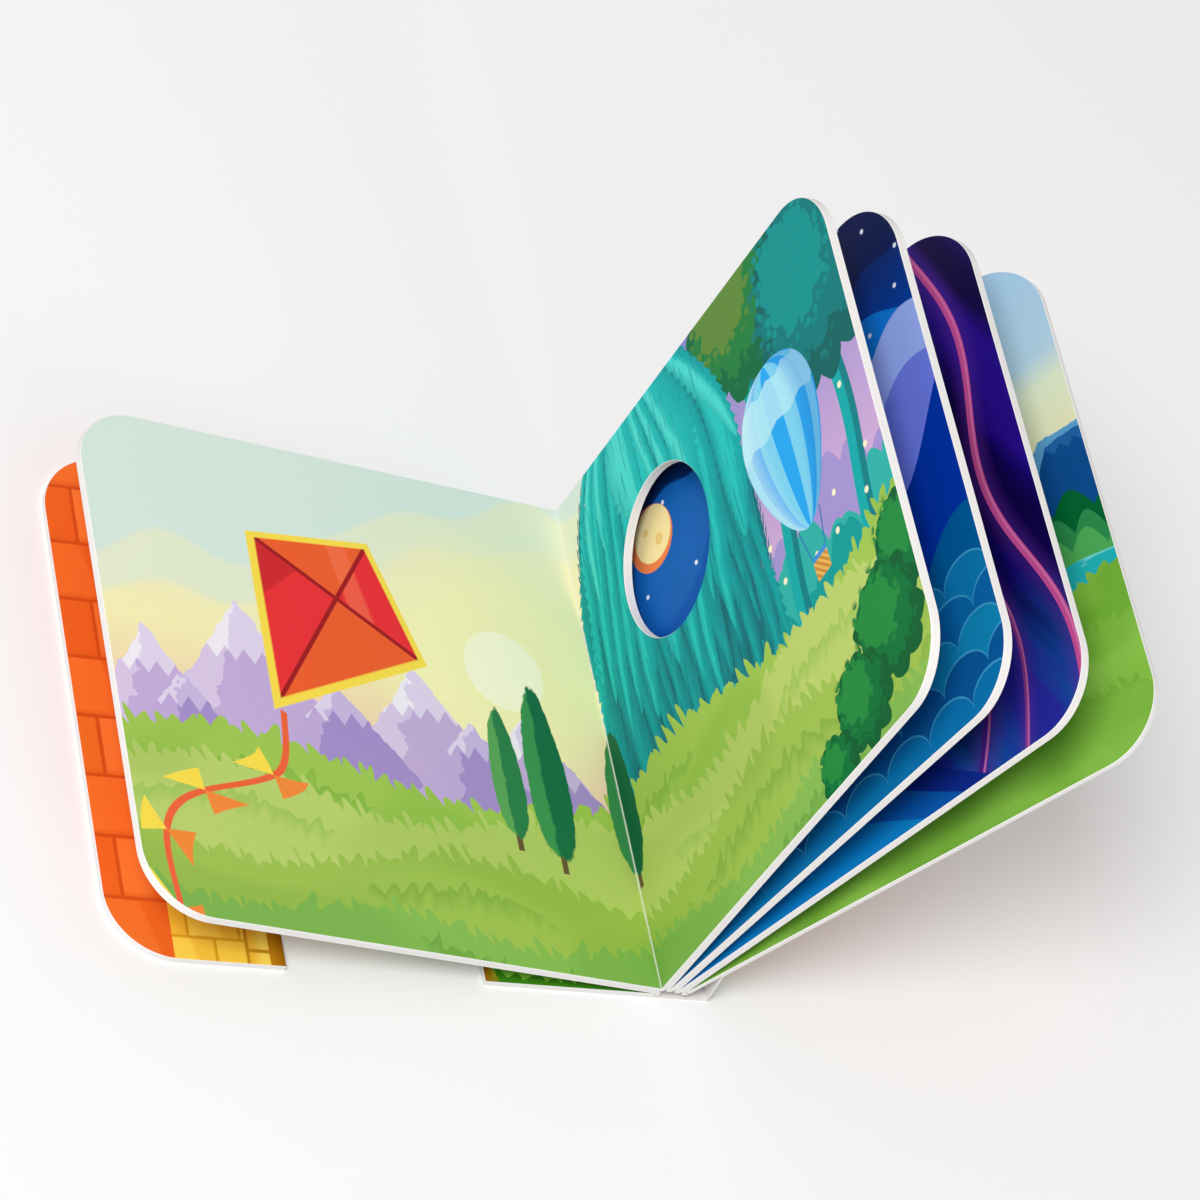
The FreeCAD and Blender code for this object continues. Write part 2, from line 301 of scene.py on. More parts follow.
leaf_edge = raw_board("leaf_edge", "#F5F3F1", "#E4DFDA", LEAF_THICKNESS / 2)
lining_edge = raw_board("lining_edge", "#F4F2F0", "#E2DDD8")
card_inside = raw_board("card_inside", "#EFEDEC", "#E0DCDA")


# Boards: each is die-cut from a laminated sheet, so its faces are printed to the very edge, its
# fore corners are round, and the knife leaves the rims of the cut eased by a hair.
EASE = 0.14 * MM
GLUE_GROOVE = 0.04 * MM
ARC_STEPS = 20


def arc(middle, radius, first, last, steps=ARC_STEPS):
    turns = [math.radians(first + (last - first) * step / steps) for step in range(steps + 1)]
    return [(middle[0] + radius * math.cos(t), middle[1] + radius * math.sin(t)) for t in turns]


def page_outline(start=0.0, notch=()):
    """A page's outline from its tail corner at the gutter, with any notch cut in the tail edge."""
    right = PAGE_WIDTH - CORNER_RADIUS
    top = PAGE_HEIGHT - CORNER_RADIUS
    points = [(start, 0.0), *notch]
    points += arc((right, CORNER_RADIUS), CORNER_RADIUS, -90, 0)
    points += arc((right, top), CORNER_RADIUS, 0, 90)
    return points + [(start, PAGE_HEIGHT)]


def inset(outline, depth):
    """The outline moved into the board by a depth, mitred at its corners."""
    moved = []
    for before, here, after in zip(outline[-1:] + outline[:-1], outline, outline[1:] + outline[:1]):
        first = Vector((here[0] - before[0], here[1] - before[1])).normalized()
        second = Vector((after[0] - here[0], after[1] - here[1])).normalized()
        left = Vector((-first.y, first.x))
        middle = (left + Vector((-second.y, second.x))).normalized()
        moved.append(Vector(here) + middle * (depth / middle.dot(left)))
    return moved


def board(name, outlines, rims, crease, angle, faces, edge_material, signs=(-1, 1), offset=0.0):
    """A cut board: outlines in page coordinates, rims as (inset, depth) pairs from its under face.

    faces are the prints of its under and upper face. signs say on which side of its spread each
    face lies, which is how its page coordinates run.
    """
    skins = [*faces, edge_material]
    mesh = bpy.data.meshes.new(name)
    for skin in skins:
        mesh.materials.append(skin)
    shape = bmesh.new()
    page_map = shape.loops.layers.uv.new("page")
    face_loops = {0: [], len(rims) - 1: []}
    for outline in outlines:
        rings = []
        for depth_in, height in rims:
            rings.append([shape.verts.new((*point, height)) for point in inset(outline, depth_in)])
        lengths = [0.0]
        for here, there in zip(outline, outline[1:] + outline[:1]):
            lengths.append(lengths[-1] + math.dist(here, there))
        for level in range(len(rims) - 1):
            for step in range(len(outline)):
                after = (step + 1) % len(outline)
                corners = [rings[level][step], rings[level][after], rings[level + 1][after],
                           rings[level + 1][step]]
                wall = shape.faces.new(corners)
                wall.material_index = 2
                run = (lengths[step], lengths[step + 1], lengths[step + 1], lengths[step])
                rise = (rims[level][1], rims[level][1], rims[level + 1][1], rims[level + 1][1])
                for loop, along_edge, up in zip(wall.loops, run, rise):
                    loop[page_map].uv = (along_edge / MM, up / MM)
        for level in face_loops:
            face_loops[level].append(rings[level])
    for level, rings in face_loops.items():
        side = 0 if level == 0 else 1
        rim = [shape.edges.get((ring[step], ring[(step + 1) % len(ring)]))
               for ring in rings for step in range(len(ring))]
        filled = bmesh.ops.triangle_fill(shape, use_beauty=True, edges=rim)
        for face in [item for item in filled["geom"] if isinstance(item, bmesh.types.BMFace)]:
            face.material_index = side
            for loop in face.loops:
                s, y, height = loop.vert.co
                loop[page_map].uv = ((s * signs[side] + offset * signs[side]) / MM, y / MM)
    bmesh.ops.recalc_face_normals(shape, faces=shape.faces)
    shape.to_mesh(mesh)
    shape.free()
    mesh.shade_smooth()
    mesh.set_sharp_from_angle(angle=math.radians(25))
    forward = along(angle)
    normal = along(angle + 90)
    mesh.transform(Matrix((
        (forward.x, 0, normal.x, crease.x),
        (0, 1, 0, TAIL),
        (forward.z, 0, normal.z, crease.z),
        (0, 0, 0, 1),
    )))
    piece = bpy.data.objects.new(name, mesh)
    scene.collection.objects.link(piece)
    return piece


# First spread, the gateway: a plain running-bond wall of orange bricks, with yellow stones round
# the arch that is cut out of the cover, and grass at its foot.
GATE_WIDTH = 55.4 * MM
GATE_MIDDLE = 77.3 * MM
GATE_WALL = 32.0 * MM
BRICK = (17.9, 46.0, 0.5)
STONE = (10.6, 14.0, 0.42)
RING_STONE = 8.6
STONE_FIELD = 30.5
RING_WIDTH = 10.6
REVEAL = 4.2


def courses(page, u, v, course, length, joint, seed, drift=0.0):
    """Running bond: (mask of the joints, a chance value for each brick, place along it)."""
    row = Ink.calc("FLOOR", v / course)
    shifted = u / length + (row % 2) * 0.5 + (row * 2.3).sine() * drift
    brick = Ink.calc("FLOOR", shifted)
    across = (shifted - brick) * length
    up = v - row * course
    wobble = (speckle(page.at, 5.0, seed) - 0.5) * 0.8
    gap = (across.at_most(length - across)).at_most(up.at_most(course - up)) + wobble * 0.5
    cell = Ink.node("CombineXYZ", None, {0: brick, 1: row, 2: seed})
    chance = Ink.node("TexWhiteNoise", {"noise_dimensions": "3D"}, {"Vector": cell})
    return edge(joint - gap, 0.4), chance, across, up


def brick_wall(page, gate_middle):
    side = 1 if gate_middle > 0 else -1
    own = page.u * -side
    joints, chance, across, up = courses(page, own + 30.0, page.v + 1.3, *BRICK, 21.0, 0.05)
    wall = over(swatch("#F8792E"), "#F2722A", chance)
    wall = over(wall, "#F7A23C", edge(chance - 0.93, 0.02))
    shadow = edge(across - 31.0 - page.wave(2.5, 31.0) + up * 0.4, 1.5)
    wall = over(wall, "#EC6620", shadow * 0.8)
    wall = over(wall, "#FF8F42", edge(6.0 - across + up * 0.3 - page.wave(2.0, 17.0), 2.0) * 0.35)
    wall = over(wall, "#E2601C", edge(1.6 - up, 1.2) * 0.5)
    wall = over(wall, "#D4551A", joints)
    half = GATE_WIDTH / 2 / MM
    spring = GATE_WALL / MM
    beside = abs(page.u - gate_middle)
    above = (page.v - spring).at_least(0)
    out = Ink.calc("SQRT", beside * beside + above * above) - half
    # squared yellow stones beside the gate, and one ring of stones that follows the arch
    squared, stone_chance, place, up = courses(page, own + 11.7, page.v + 3.9, *STONE, 22.0)
    stones = over(swatch("#FFD650"), "#F9C53E", stone_chance)
    stones = over(stones, "#F2B730", edge(place - 9.5 + up * 0.2, 1.5) * 0.6)
    stones = over(stones, "#D9A020", squared)
    wall = over(wall, stones, edge(STONE_FIELD + page.wave(0.4, 11.0) - out))
    turn = Ink.calc("ARCTAN2", above, beside) * (half + 8) + page.v.at_most(spring)
    along_ring = (turn + 4.6) % RING_STONE
    gap = along_ring.at_most(RING_STONE - along_ring).at_most(abs(out - 10.2))
    ring = over(swatch("#FFDA5C"), "#F2B42C", edge(out - 7.4, 2.5) * 0.8)
    ring = over(ring, "#C4891A", edge(0.5 - gap, 0.4))
    wall = over(wall, ring, edge(RING_WIDTH - out))
    reveal = over(swatch("#9A6209"), "#BE7C12", edge(out - 1.6, 3.0))
    return over(wall, reveal, edge(REVEAL - out))


def grass_foot(page, wall, level, seed):
    """Grass along the foot of a picture, in three rows of blades."""
    ridge = level + page.wave(1.6, 47.0) + page.tufts(6.0, seed)
    wall = over(wall, "#4E9A1E", edge(ridge - page.v))
    lower = level - 4.0 + page.wave(1.2, 31.0, 1.0) + page.tufts(5.0, seed + 1, lean=-0.4)
    wall = over(wall, "#7DBB3A", edge(lower - page.v))
    return over(wall, "#3C8418", edge(level - 8.5 + page.tufts(4.0, seed + 2) - page.v))


def gate_spread(page):
    wall = brick_wall(page, -GATE_MIDDLE / MM)
    near_gutter = edge(page.u + 46.0 + page.tufts(3.0, 25.0), 3.0)
    foot = grass_foot(page, wall, 9.5, 24.0)
    return over(wall, foot, near_gutter)


# Second spread, the one that lies open: a day sky over meadow on the left and teal woods on the
# right, with a kite and a balloon. All of it is plain shapes in flat inks with soft shading.
def crown(page, picture, middle, radius, colours, lobes=12):
    """A round tree crown in scalloped layers, each smaller and nearer the light than the last."""
    rough = (speckle(page.at, radius * 0.4, lobes) - 0.5) * (radius * 0.24)
    dabs = page.dots(0.3)
    for layer, colour in enumerate(colours):
        size = radius * (1 - 0.23 * layer)
        spot = (middle[0] - radius * 0.13 * layer, middle[1] + radius * 0.15 * layer)
        count = lobes - 2 * layer
        scallop = abs((page.bearing(spot) * (count / 2) + layer).sine()) * (size * 0.16)
        inside = size * 0.88 + scallop + rough - page.reach(spot)
        if layer:
            leaf = edge(0.36 - dabs, 0.03) * edge(inside + radius * 0.14, radius * 0.12)
            picture = over(picture, colour, leaf)
        picture = over(picture, colour, edge(inside))
    return picture


def mountain(page, picture, top, foot, half, colours, rag):
    """A peak with a lit and a shaded flank, and snow down to a broken line."""
    lit, shade, snow, snow_shade = colours
    across = page.u - top[0] + rag
    rise = top[1] - foot
    inside = rise * (1 - abs(across) / half) + foot - page.v
    flank = edge(across + (top[1] - page.v) * 0.3 + rag * 1.5)
    rock = over(swatch(lit), shade, flank)
    cap = over(swatch(snow), snow_shade, flank)
    line = page.v - top[1] + rise * 0.3 + Ink.calc("PINGPONG", page.u + top[0], 2.8) * 1.5
    return over(picture, over(rock, cap, edge(line)), edge(inside))


def willow(page, picture, middle, half, top):
    """A weeping tree: curtains of long fronds that part at its crown and hang to uneven tips."""
    share = ((page.v - middle[1]) / (top - middle[1])).at_least(0)
    wide = Ink.calc("SQRT", (1 - share * share).at_least(0.001)) * half
    crease = speckle(page.at, 1.5, 33.0, (1.0, 0.09, 1.0), 1.0)
    under = edge(0.96 - abs(page.u - middle[0]) / wide, 0.02) * edge(page.v - 50.0 - page.wave(5.0, 19.0))
    picture = over(picture, "#006873", under)
    for fronds, low, ragged, phase, dark, plain, light in (
        (7.5, 20.0, 20.0, 0.0, "#005F6C", "#007A83", "#00868D"),
        (6.5, 30.0, 30.0, 1.9, "#00747D", "#009096", "#00A0A2"),
        (5.0, 46.0, 40.0, 4.1, "#008A90", "#00A7A9", "#1FC4C0"),
        (3.5, 84.0, 44.0, 5.3, "#009CA0", "#14BAB8", "#4BD8D0"),
    ):
        sway = (page.v * 0.055 + phase).sine() * 2.6
        across = (page.u - middle[0] + sway) / wide
        place = across * fronds + (across * 6.0 + phase).sine() * 0.45 + fronds + 1.0
        frond = Ink.calc("FLOOR", place)
        off = (place - frond - 0.5) * 2
        chance = Ink.node("TexWhiteNoise", {"noise_dimensions": "1D"}, {"W": frond + fronds})
        hang = (page.v - low - chance * ragged).at_least(0)
        taper = Ink.calc("POWER", hang.at_most(26.0) / 26.0, 0.6)
        notch = Ink.calc("PINGPONG", page.v + abs(off) * 5.0 + chance * 9.0, 1.9) / 1.9
        inside = taper * (1.02 - notch * 0.2) - abs(off)
        tone = over(swatch(plain), light, edge(0.05 - off + (crease - 0.5) * 1.4, 0.35))
        tone = over(tone, dark, edge(crease - 0.6, 0.05) * 0.55)
        tone = over(tone, dark, edge(abs(off) - taper * 0.72, 0.5) * 0.7)
        picture = over(picture, tone, edge(inside, 0.07) * edge(1.04 - abs(across) - notch * 0.03, 0.012))
    return picture


def field(page, picture, level, size, length, shift, seed, colour, light, dark):
    """One rise of grass: a tufted ridge, soft changes of green, and a row of darker tufts below."""
    swell = level + page.wave(size, length, shift)
    patch = speckle(page.at, 32.0, seed, (0.6, 1.3, 1.0), 0.0)
    grass = over(swatch(colour), light, edge(patch - 0.5, 0.1) * 0.7)
    row = swell - size - 4.0 + page.tufts(5.5, seed + 3.0, 2.6, -0.4) - page.v
    clump = edge(row) * edge(4.0 - row, 5.5) * edge(patch - 0.53, 0.02)
    grass = over(grass, dark, clump * 0.75)
    return over(picture, grass, edge(swell + page.tufts(7.0, seed, 2.2) - page.v))


def kite(page, picture, middle, degrees):
    """A cross-sparred kite with a bowed tail that streams from its lower corner."""
    own = page.turned(middle, degrees, (0.7, 0.7, 1))
    rise = own.v.at_least(0) / 17.0 + (own.v * -1).at_least(0) / 33.0
    inside = (1 - abs(own.u) / 21.0 - rise) * 13.0
    sway = (own.v * 0.115).sine() * 7.0 * edge(-33.0 - own.v, 24.0)
    off = abs(own.u - sway)
    tail = edge(0.75 - off) * edge(-32.0 - own.v) * edge(own.v + 88.0)
    step = Ink.calc("PINGPONG", own.v + 40.0, 6.5)
    bow = edge(off * 0.62 - abs(step - 6.5)) * edge(5.6 - off) * edge(-38.0 - own.v) * edge(own.v + 90.0)
    picture = over(picture, "#F0653C", tail)
    picture = over(picture, over(swatch("#FCDD4E"), "#F58A3A", edge(own.u - sway)), bow)
    opposite = edge(own.u) * edge(own.v * -1) + edge(own.u * -1) * edge(own.v)
    cloth = over(swatch("#EE3338"), "#F2602F", opposite)
    cloth = over(cloth, "#C5272C", edge(own.u * -1 - 9.0 + own.v * 0.3, 0.5) * edge(own.v * -1) * 0.7)
    cloth = over(cloth, "#FF7A55", edge(3.0 - abs(own.u + own.v - 6.0), 1.0) * edge(own.v) * 0.5)
    cloth = over(cloth, "#A31E22", edge(0.45 - abs(own.u).at_most(abs(own.v))))
    cloth = over(cloth, "#FCDD4E", edge(1.3 - inside, 0.3))
    return over(picture, cloth, edge(inside))


def balloon(page, picture, middle, width, height):
    """A gored hot-air balloon with its basket."""
    own = page.turned(middle, 4.0)
    share = own.v / height
    half = Ink.calc("SQRT", (1 - share * share).at_least(0)) * (share * 0.28 + 0.86) * width
    gore = Ink.calc("ARCSINE", own.u / (half + 0.01) * 0.98)
    stripe = Ink.calc("PINGPONG", gore + 4.0, 0.36)
    cloth = over(swatch("#7CD2F2"), "#1EA7F2", edge(stripe - 0.18, 0.012))
    cloth = over(cloth, "#B4ECFA", edge(0.25 - abs(share - 0.52 - stripe * 0.2), 0.01) * 0.75)
    cloth = over(cloth, "#D6F6FD", edge(-0.62 - gore, 0.5) * 0.45)
    cloth = over(cloth, "#1B7CCB", edge(gore - 0.55, 0.5) * 0.45)
    off = abs(abs(own.u) - 3.4 - (own.v + height + 9) * 0.22)
    ropes = edge(0.28 - off) * own.band(-height - 9, -height + 2)
    basket = edge(4.3 + own.v * 0.02 - abs(own.u)) * own.band(-height - 15.5, -height - 8.5)
    weave = Ink.calc("PINGPONG", own.u + own.v, 1.1)
    cane = over(swatch("#E9B65A"), "#C98A36", edge(weave - 0.55, 0.3))
    cane = over(cane, "#3B8FD6", edge(own.v + height + 10.0))
    picture = over(picture, "#2E76B8", ropes)
    picture = over(picture, cane, basket)
    return over(picture, cloth, edge(half - abs(own.u)) * edge(1 - abs(share), 0.01))


def meadow(page, picture):
    """The fields that both pages share, far to near."""
    for rise in (
        (51.0, 6.0, 150.0, 0.4, 51.0, "#95BF4C", "#A6C957", "#83B442"),
        (41.0, 5.5, 117.0, 2.2, 52.0, "#B0C866", "#BFD372", "#9CC257"),
        (23.0, 5.5, 131.0, 4.1, 53.0, "#97BA4C", "#A4C456", "#83AE42"),
        (6.5, 3.0, 89.0, 1.0, 54.0, "#7FB350", "#8CBE57", "#6CA543"),
    ):
        picture = field(page, picture, *rise)
    return picture


def day_sky(page):
    """Mint over cream, with peach low down and a pale sun's glow."""
    cloud = page.wave(5.0, 118.0, 0.6) + page.wave(2.2, 41.0)
    warm = fade(page.v, (0.38, "#F3CDB4"), (0.48, "#F6DDB0"), (0.58, "#F8EFB4"), (0.8, "#F0ECC6"))
    rise = page.v - page.u * 0.3 + cloud
    picture = over(warm, "#E6EBCE", edge(rise - 137.0, 3.0))
    picture = over(picture, "#D8E8DD", edge(rise - 151.0 + page.wave(3.0, 57.0), 2.5))
    return over(picture, "#FDF6B8", page.disc((-30.0, 93.0), 36.0, 22.0) * 0.85)


def cypress(page, picture, middle, width, height, colour, light):
    own = page.turned(middle, 0.0, (1 / width, 1 / height, 1))
    rough = (speckle(page.at, 2.0, height, (1.0, 0.5, 1.0)) - 0.5) * 0.5
    lean = own.u * (own.v * 0.22 + 1.0)
    reach = Ink.calc("SQRT", lean * lean + own.v * own.v) + rough * 0.5
    leaf = over(swatch(colour), light, edge(-0.18 - own.u + rough, 0.1))
    foot = page.band(middle[1] - height - 4, middle[1])
    picture = over(picture, "#6B5638", edge(0.9 - abs(page.u - middle[0])) * foot)
    return over(picture, leaf, edge(1 - reach, 0.04))


GUTTER_TREE = ((1.5, 56.0), 5.6, 22.0, "#17653F", "#3B8E4E")


def meadow_left(page):
    picture = over(day_sky(page), "#FFFAD6", page.disc((-30.0, 93.0), 12.5, 0.5))
    rag = (speckle(page.at, 5.0, 9.0) - 0.5) * 5.0
    far = ("#DCC7E6", "#C6ACD9", "#F5ECF6", "#E2D3EC")
    near = ("#C3A9DA", "#A78FCB", "#E3D4EE", "#CBB6E0")
    for top, half, colours in (
        ((-141.0, 86.0), 24.0, far), ((-60.0, 88.0), 30.0, far), ((-28.0, 78.0), 24.0, far),
        ((-112.0, 99.0), 36.0, far), ((-86.0, 79.0), 25.0, near), ((-132.0, 73.0), 20.0, near),
        ((-45.0, 74.0), 21.0, near), ((-16.0, 67.0), 15.0, near),
    ):
        picture = mountain(page, picture, top, 48.0, half, colours, rag)
    picture = meadow(page, picture)
    picture = cypress(page, picture, (-36.0, 60.0), 4.8, 20.0, "#2F7F4B", "#5CA35A")
    picture = cypress(page, picture, (-23.0, 62.0), 6.4, 27.0, "#1B6F45", "#3F9452")
    picture = cypress(page, picture, *GUTTER_TREE)
    return kite(page, picture, (-80.0, 106.0), -33.0)


def meadow_right(page):
    dusk = fade(page.v, (0.28, "#E9BEDA"), (0.5, "#C9A6D6"), (0.72, "#A896D2"), (0.95, "#8A8ACB"))
    picture = over(day_sky(page), dusk, edge(page.u - 34.0 + page.wave(5.0, 60.0), 9.0))
    # far woods in the dusk, in three scalloped rows
    dusky = edge(page.u - 8.0, 2.0)
    for level, colour, shift in ((70.0, "#A493D2", 2.0), (60.0, "#2BB0A8", 5.0), (50.0, "#009B98", 9.0)):
        lobe = Ink.calc("PINGPONG", page.u + shift * 3, 5.5 + shift * 0.4) / 5.5
        wood = level + page.wave(5.0, 44.0, shift) + (lobe * 1.5).sine() * 6.0
        picture = over(picture, colour, edge(wood - page.v) * dusky)
    # two green trees whose crowns fill the top corner, then the willow round the peep window
    for middle, radius, colours, lobes in (
        ((104.0, 143.0), 24.0, ("#006B3E", "#1F7F3E", "#5F8A38"), 12),
        ((140.0, 126.0), 29.0, ("#00635F", "#00797A", "#00928F"), 14),
    ):
        bend = (page.v * 0.09).sine() * 1.5
        stem = edge(3.4 - abs(page.u - middle[0] - bend)) * page.band(24.0, middle[1])
        shade = edge(page.u - middle[0] - bend - 0.6)
        picture = over(picture, over(swatch("#00A8A9"), "#007F86", shade), stem)
        picture = crown(page, picture, middle, radius, colours, lobes)
    trunk = 7.0 + Ink.calc("POWER", 2.718, (page.v * -1 + 20.0) / 11.0) * 4.0 + page.wave(0.6, 3.0)
    bend = (page.v * 0.06).sine() * 3.0
    rills = speckle(page.at, 2.2, 31.0, (1.0, 0.1, 1.0))
    bark = over(swatch("#00767E"), "#00959A", edge(40.0 + bend - page.u, 3.0))
    bark = over(bark, "#005F6C", edge(rills - 0.55, 0.04) * 0.7)
    picture = over(picture, bark, edge(trunk - abs(page.u - 42.0 - bend)) * edge(page.v - 9.0, 2.0))
    picture = willow(page, picture, (47.0, 101.0), 44.0, 166.0)
    # fireflies
    spots = page.dots(0.06)
    lit = edge(page.u - 92.0) * page.band(52.0, 100.0)
    picture = over(picture, "#FBF3D0", edge(0.055 - spots, 0.02) * lit)
    picture = balloon(page, picture, (112.0, 94.0), 21.0, 26.0)
    picture = meadow(page, picture)
    picture = cypress(page, picture, *GUTTER_TREE)
    # dark bushes in the far corner
    for middle, radius in (
        ((150.0, 40.0), 13.0), ((136.0, 25.0), 16.0), ((118.0, 13.0), 13.0), ((101.0, 4.0), 9.0),
    ):
        picture = crown(page, picture, middle, radius, ("#005F30", "#007238", "#1E8A3E"), 10)
    return picture


def peaks(page, level, size, length, shift):
    """Height of a range of pointed mountains, two saw-teeth of unlike length laid together."""
    first = Ink.calc("PINGPONG", page.u + shift, length) / length
    second = Ink.calc("PINGPONG", page.u + shift * 1.7, length * 0.43) / (length * 0.43)
    rough = (speckle(page.at, 4.0, shift, (1, 0.4, 1)) - 0.5) * 2.6
    return first * size + second * (size * 0.4) + rough + level


# Third spread, night: a moon ringed by its own light, with banks of cloud over a scaled sea. The
# moon is printed where it shows through the window of the leaf before.
def night_spread(page):
    picture = fade(page.v, (0.1, "#0068A8"), (0.45, "#0A4FA8"), (0.72, "#0043A6"), (0.95, "#00114A"))
    moon = (33.0, 121.0)
    reach = page.reach(moon) + (speckle(page.at, 14.0, 61.0) - 0.5) * 5.0
    for size, colour, strength in ((60.0, "#064EAA", 0.5), (42.0, "#0A58B0", 0.7), (27.0, "#1866B8", 0.7)):
        picture = over(picture, colour, edge(size - reach, 1.5) * strength)
    # banks of cloud that sweep down to the fore edge
    for level, slope, size, colour in (
        (150.0, 0.16, 7.0, "#000B38"), (119.0, 0.14, 6.0, "#0A7BD8"), (111.0, 0.12, 6.0, "#9DB4F6"),
        (98.0, 0.3, 5.0, "#7080E4"), (85.0, 0.5, 7.0, "#0035A6"), (48.0, 0.2, 6.0, "#005F9E"),
    ):
        top = level - (150.0 - page.u) * slope + page.wave(size, 38.0 + size * 3, level)
        inked = edge(page.v - top) if level == 150.0 else edge(top - page.v)
        outer = edge(page.u - 96.0 + page.wave(9.0, 70.0) - page.v * 0.1, 14.0)
        picture = over(picture, colour, inked * outer)
    top = 132.0 + page.wave(3.0, 66.0) + page.wave(1.5, 23.0, 2.0)
    picture = over(picture, "#00134C", edge(page.v - top, 0.6) * 0.85)
    stars = page.dots(0.06)
    picture = over(picture, "#E9F0FF", edge(0.04 - stars, 0.02) * edge(page.v - 98.0))
    picture = over(picture, "#F0834A", page.disc(moon, 9.6))
    picture = over(picture, "#FBE7A6", page.disc((moon[0] + 0.9, moon[1] + 0.9), 8.2))
    picture = over(picture, "#F3CF7E", page.disc((moon[0] + 3.0, moon[1] - 2.0), 1.7))
    picture = over(picture, "#F3CF7E", page.disc((moon[0] - 2.0, moon[1] + 3.0), 1.2))
    # sea of overlapping scales
    for row in range(5):
        level = 34.0 - row * 8.0
        arch = Ink.calc("PINGPONG", page.u + row % 2 * 9.0, 9.0)
        lift = Ink.calc("SQRT", (81.0 - arch * arch).at_least(0)) * 0.75
        colour = ("#0C7CB4", "#0A68A8", "#1089B8", "#0B5A9C", "#0D76B0")[row]
        picture = over(picture, "#3F9FCB", edge(level + lift + 0.6 - page.v))
        picture = over(picture, colour, edge(level + lift - page.v))
    return picture


# Fourth spread, deep dusk: pink ribbons of light on folds of indigo, over blue slopes that rise
# towards the gutter.
def ribbon_spread(page):
    picture = fade(page.v, (0.05, "#0B4C9C"), (0.3, "#150E72"), (0.55, "#120058"), (0.98, "#1E0A50"))
    folds = page.turned((0, 0), 24.0)
    drift = speckle(folds.at, 30.0, 71.0, (1.4, 0.22, 1.0), 3.0)
    picture = over(picture, "#2A0F92", edge(drift - 0.52, 0.14) * 0.75)
    picture = over(picture, "#0D0038", edge(0.43 - drift, 0.1) * 0.8)
    for middle, lean, size, length, width, colour in (
        (141.0, -0.10, 4.5, 97.0, 1.15, "#C64F93"), (126.0, -0.03, 7.0, 120.0, 0.8, "#8A3A8C"),
        (116.0, 0.05, 8.0, 104.0, 1.6, "#4B1F86"), (88.0, 0.2, 9.0, 75.0, 1.4, "#B5478A"),
        (44.0, -0.2, 10.0, 96.0, 1.1, "#7A3AA0"), (-60.0, 0.3, 14.0, 90.0, 1.4, "#C64F93"),
        (-110.0, -0.1, 9.0, 70.0, 1.0, "#A03A76"),
    ):
        line = middle + (page.v - 76.0) * lean + (page.v * (2 * math.pi / length)).sine() * size
        off = abs(page.u - line)
        picture = over(picture, "#5A2A9A", edge(width * 3.2 - off, width * 3) * 0.3)
        picture = over(picture, colour, edge(width - off))
        picture = over(picture, "#E07FB4", edge(width * 0.3 - abs(page.u - line - width * 0.4)) * 0.6)
    for level, fall, colour in ((40.0, 0.5, "#0E2A88"), (27.0, 0.37, "#0A57A8"), (14.0, 0.22, "#0B7CC0")):
        slope = (abs(page.u) - 40.0).at_least(0) * fall
        picture = over(picture, colour, edge(level - slope + page.wave(3.0, 52.0 + level, level) - page.v))
    return picture


# Fifth spread, the lake: mountains and round trees behind teal water, with grass in front. Its
# right half is the lining of the back cover.
def lake_spread(page):
    picture = fade(page.v + page.wave(3.0, 90.0), (0.6, "#E6E3B8"), (0.72, "#DCE4C4"),
                   (0.78, "#AFCDDD"), (0.95, "#A1C4DC"))
    for level, size, length, shift, colour, cap in (
        (80.0, 22.0, 37.0, 21.0, "#5A9CC8", "#8FBCDC"), (60.0, 36.0, 33.0, 9.0, "#0A4A8C", "#1F5FA0"),
    ):
        top = peaks(page, level, size, length, shift)
        picture = over(picture, colour, edge(top - page.v))
        jag = Ink.calc("PINGPONG", page.u, 2.2)
        picture = over(picture, cap, edge(top - page.v) * edge(page.v - level - size * 0.9 + jag))
    for level, pitch, colour in ((70.0, 6.0, "#00632F"), (63.0, 4.6, "#2E8A4C"), (58.0, 5.2, "#4FA858")):
        lobe = Ink.calc("PINGPONG", page.u + pitch, pitch) / pitch
        wood = level + (lobe * 1.5).sine() * 6.0 + page.wave(3.0, 61.0)
        picture = over(picture, colour, edge(wood - page.v))
    glint = speckle(page.at, 4.0, 81.0, (0.25, 2.0, 1.0))
    water = over(swatch("#22B0B8"), "#6FD3D2", edge(glint - 0.6, 0.03))
    picture = over(picture, water, edge(57.0 + page.wave(0.8, 33.0) - page.v))
    patch = speckle(page.at, 20.0, 82.0, (0.6, 1.3, 1.0), 1.0)
    for level, seed, colour, light in (
        (49.0, 83.0, "#74AE38", "#8ABF49"),
        (33.0, 84.0, "#7DB540", "#93C653"),
        (15.0, 85.0, "#72A83A", "#86BA49"),
    ):
        ridge = level + page.wave(3.0, 77.0, seed) + page.tufts(6.0, seed)
        grass = over(swatch(colour), light, edge(patch - 0.5, 0.2))
        picture = over(picture, grass, edge(ridge - page.v))
    return picture


# Cover print: the same brick wall from outside, as high as its yellow coping, with a hedge and a
# plain sky behind it.
SPINE_WIDTH = 16.0 * MM
WALL_TOP = 88.2
COPING = (9.0, 23.0, 0.4)


